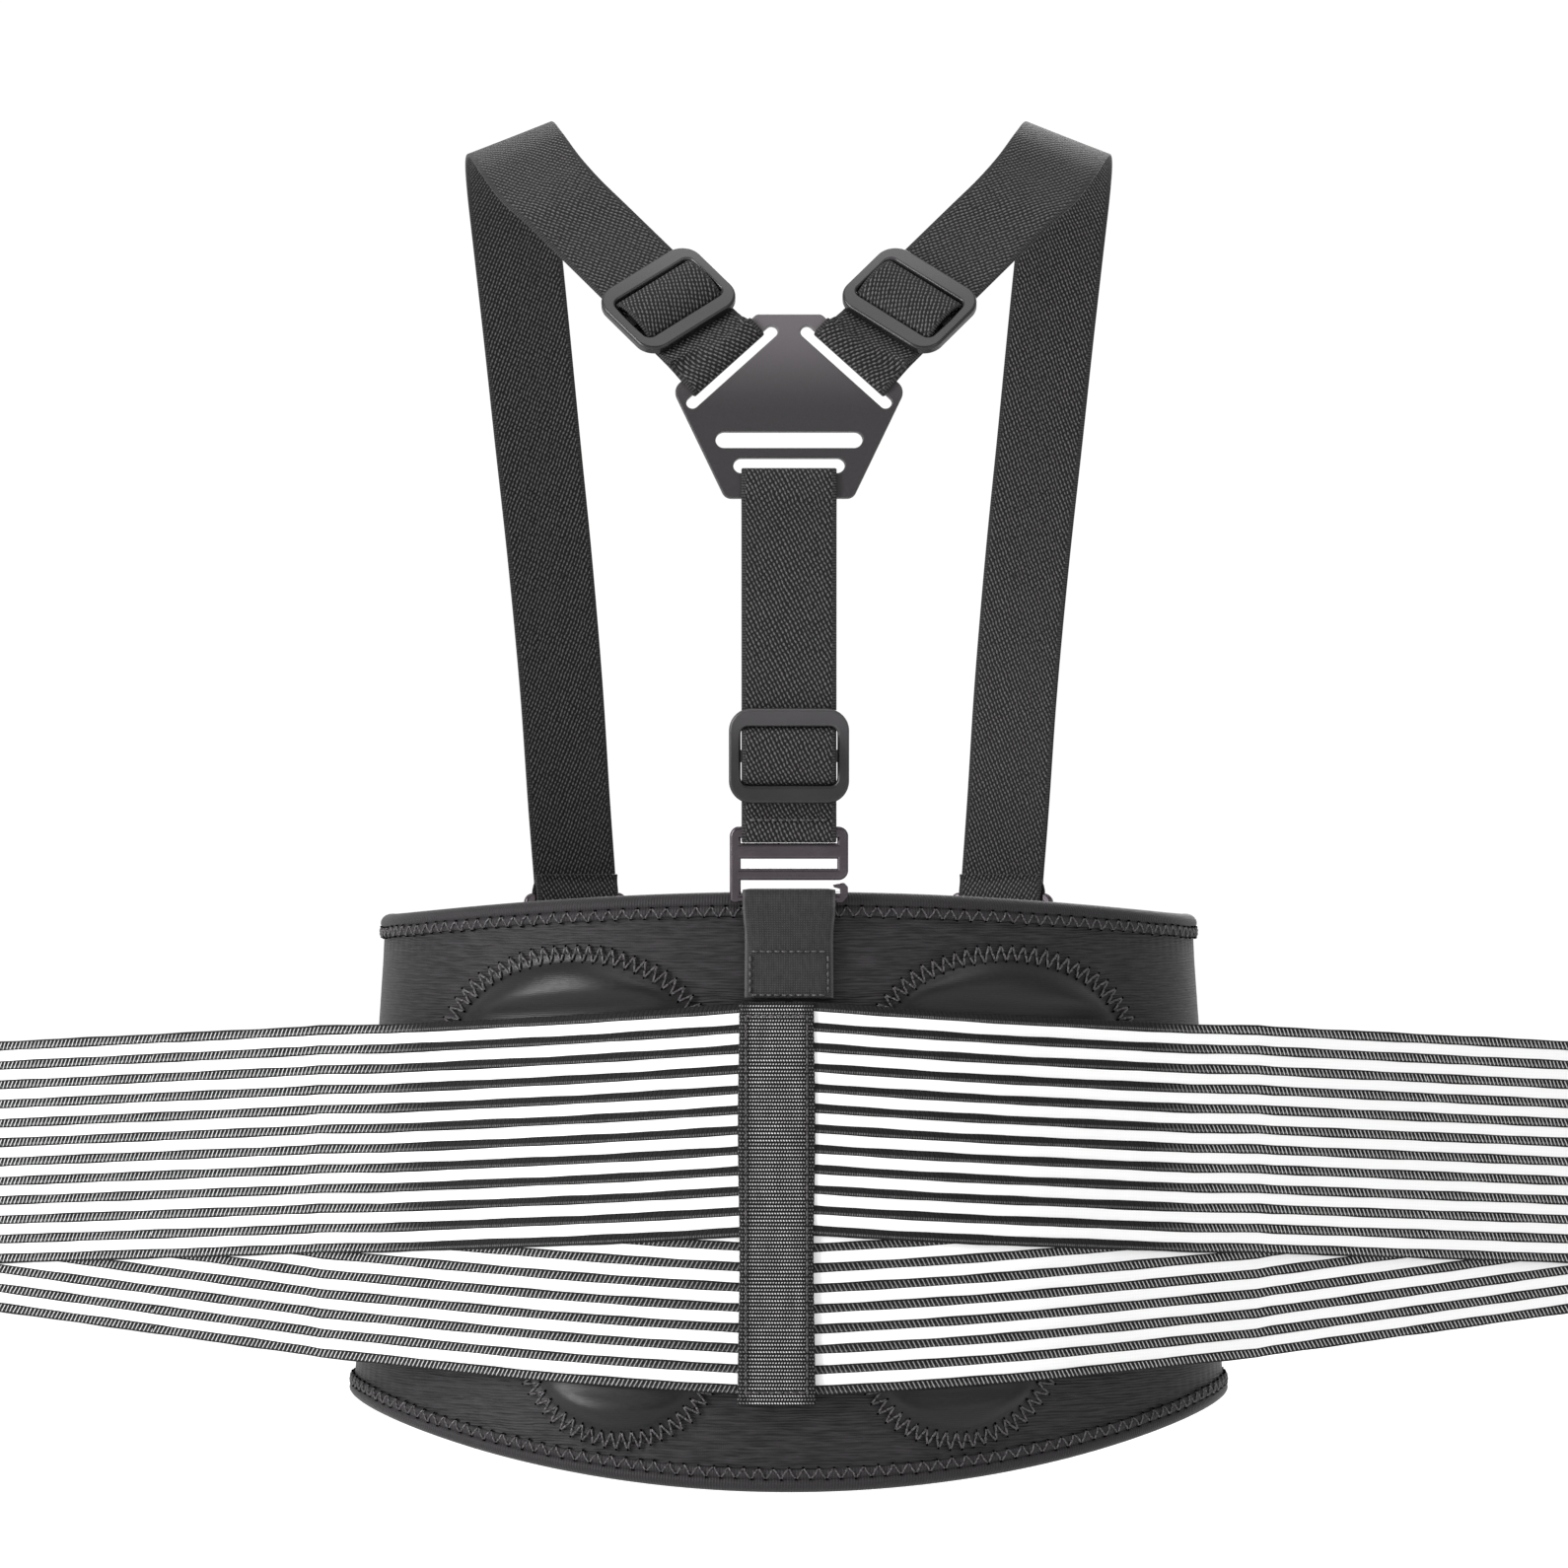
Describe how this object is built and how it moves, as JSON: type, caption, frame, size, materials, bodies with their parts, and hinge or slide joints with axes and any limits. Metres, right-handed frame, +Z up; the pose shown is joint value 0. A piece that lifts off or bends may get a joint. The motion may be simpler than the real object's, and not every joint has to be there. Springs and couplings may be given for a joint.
{
  "type": "back brace",
  "caption": "Lumbar back brace with crossed elastic pull bands, lumbar pads and a Y-shaped shoulder harness, as worn.",
  "frame": {"origin": "centre of the waist opening, at the middle height of the belt's back", "axes": "+X to the wearer's right, +Y to the wearer's front, +Z up"},
  "size_m": [0.8828, 0.2621, 0.5597],
  "materials": {
    "neoprene": "knit-faced neoprene, fine ribs, soft sheen",
    "pad_cover": "smooth stretch cover, satin sheen",
    "lining": "breathable spacer mesh",
    "binding": "folded stretch tape, zigzag stitched",
    "elastic": "woven elastic, black cords with white stripes between",
    "ribbon": "ribbed grosgrain",
    "webbing": "twill elastic webbing",
    "hook_tape": "hook tape",
    "loop_tape": "brushed loop tape",
    "moulded_plastic": "satin dark grey",
    "coated_metal": "satin gunmetal coating",
    "spring_steel": "bare spring steel"
  },
  "bodies": {
    "brace": {"inner_lining": "lining", "back_panel": "neoprene", "left_wing": "neoprene", "right_wing": "neoprene", "top_binding": "binding", "bottom_binding": "binding", "spine_strip": "ribbon", "landing_patch": "loop_tape", "back_loop": "webbing", "centre_strap": "webbing", "yoke_plate": "moulded_plastic", "outer_left_stay": "spring_steel", "inner_left_stay": "spring_steel", "inner_right_stay": "spring_steel", "outer_right_stay": "spring_steel", "left_pad": "pad_cover", "right_pad": "pad_cover", "left_upper_band_inner": "elastic", "right_upper_band_inner": "elastic", "left_lower_band_inner": "elastic", "right_lower_band_inner": "elastic", "left_front_loop": "webbing", "right_front_loop": "webbing", "left_shoulder_strap": "webbing", "right_shoulder_strap": "webbing"},
    "closure": {"closure_flap": "neoprene", "flap_hook_patch": "hook_tape"},
    "back_clip": {"back_hook": "coated_metal", "back_end_loop": "webbing"},
    "back_adjuster": {"back_slider": "moulded_plastic", "back_slider_fold": "webbing"},
    "left_band": {"left_upper_band_outer": "elastic", "left_lower_band_outer": "elastic"},
    "left_tab": {"left_pull_tab": "neoprene", "left_tab_hook_patch": "hook_tape", "left_finger_loop": "webbing"},
    "left_front_clip": {"left_front_hook": "coated_metal", "left_front_end_loop": "webbing"},
    "left_adjuster": {"left_shoulder_slider": "moulded_plastic", "left_shoulder_slider_fold": "webbing"},
    "right_band": {"right_upper_band_outer": "elastic", "right_lower_band_outer": "elastic"},
    "right_tab": {"right_pull_tab": "neoprene", "right_tab_hook_patch": "hook_tape", "right_finger_loop": "webbing"},
    "right_front_clip": {"right_front_hook": "coated_metal", "right_front_end_loop": "webbing"},
    "right_adjuster": {"right_shoulder_slider": "moulded_plastic", "right_shoulder_slider_fold": "webbing"}
  },
  "joints": [
    {"name": "closure_fold", "type": "hinge", "parent": "brace", "child": "closure", "pos_m": [-0.054, 0.11352, 0], "axis": [0, 0, 1], "range_deg": [0, 95], "stiffness_Nm_per_rad": 0.01},
    {"name": "back_clip_swing", "type": "hinge", "parent": "brace", "child": "back_clip", "pos_m": [0, -0.11819, 0.1175], "axis": [1, 0, 0], "range_deg": [0, 20], "stiffness_Nm_per_rad": 0.05},
    {"name": "back_adjuster_slide", "type": "slide", "parent": "brace", "child": "back_adjuster", "axis": [0, -0.0872, 0.9962], "range_m": [-0.005, 0.075]},
    {"name": "left_band_swing", "type": "hinge", "parent": "brace", "child": "left_band", "pos_m": [-0.192, -0.05924, 0], "axis": [0, 0, -1], "range_deg": [-15, 62], "stiffness_Nm_per_rad": 0.02},
    {"name": "left_tab_fold", "type": "hinge", "parent": "left_band", "child": "left_tab", "pos_m": [-0.33497, 0.00895, 0], "axis": [0, 0, -1], "range_deg": [-20, 70], "stiffness_Nm_per_rad": 0.01},
    {"name": "left_front_clip_swing", "type": "hinge", "parent": "brace", "child": "left_front_clip", "pos_m": [-0.092, 0.10177, 0.087], "axis": [-0.9219, -0.3873, 0], "range_deg": [0, 20], "stiffness_Nm_per_rad": 0.05},
    {"name": "left_adjuster_slide", "type": "slide", "parent": "brace", "child": "left_adjuster", "axis": [-0.6266, 0.447, 0.6384], "range_m": [-0.003, 0.05]},
    {"name": "right_band_swing", "type": "hinge", "parent": "brace", "child": "right_band", "pos_m": [0.192, -0.05924, 0], "axis": [0, 0, 1], "range_deg": [-15, 62], "stiffness_Nm_per_rad": 0.02},
    {"name": "right_tab_fold", "type": "hinge", "parent": "right_band", "child": "right_tab", "pos_m": [0.33497, 0.00895, 0], "axis": [0, 0, 1], "range_deg": [-20, 70], "stiffness_Nm_per_rad": 0.01},
    {"name": "right_front_clip_swing", "type": "hinge", "parent": "brace", "child": "right_front_clip", "pos_m": [0.092, 0.10177, 0.087], "axis": [-0.9219, 0.3873, 0], "range_deg": [0, 20], "stiffness_Nm_per_rad": 0.05},
    {"name": "right_adjuster_slide", "type": "slide", "parent": "brace", "child": "right_adjuster", "axis": [0.6266, 0.447, 0.6384], "range_m": [-0.003, 0.05]}
  ]
}
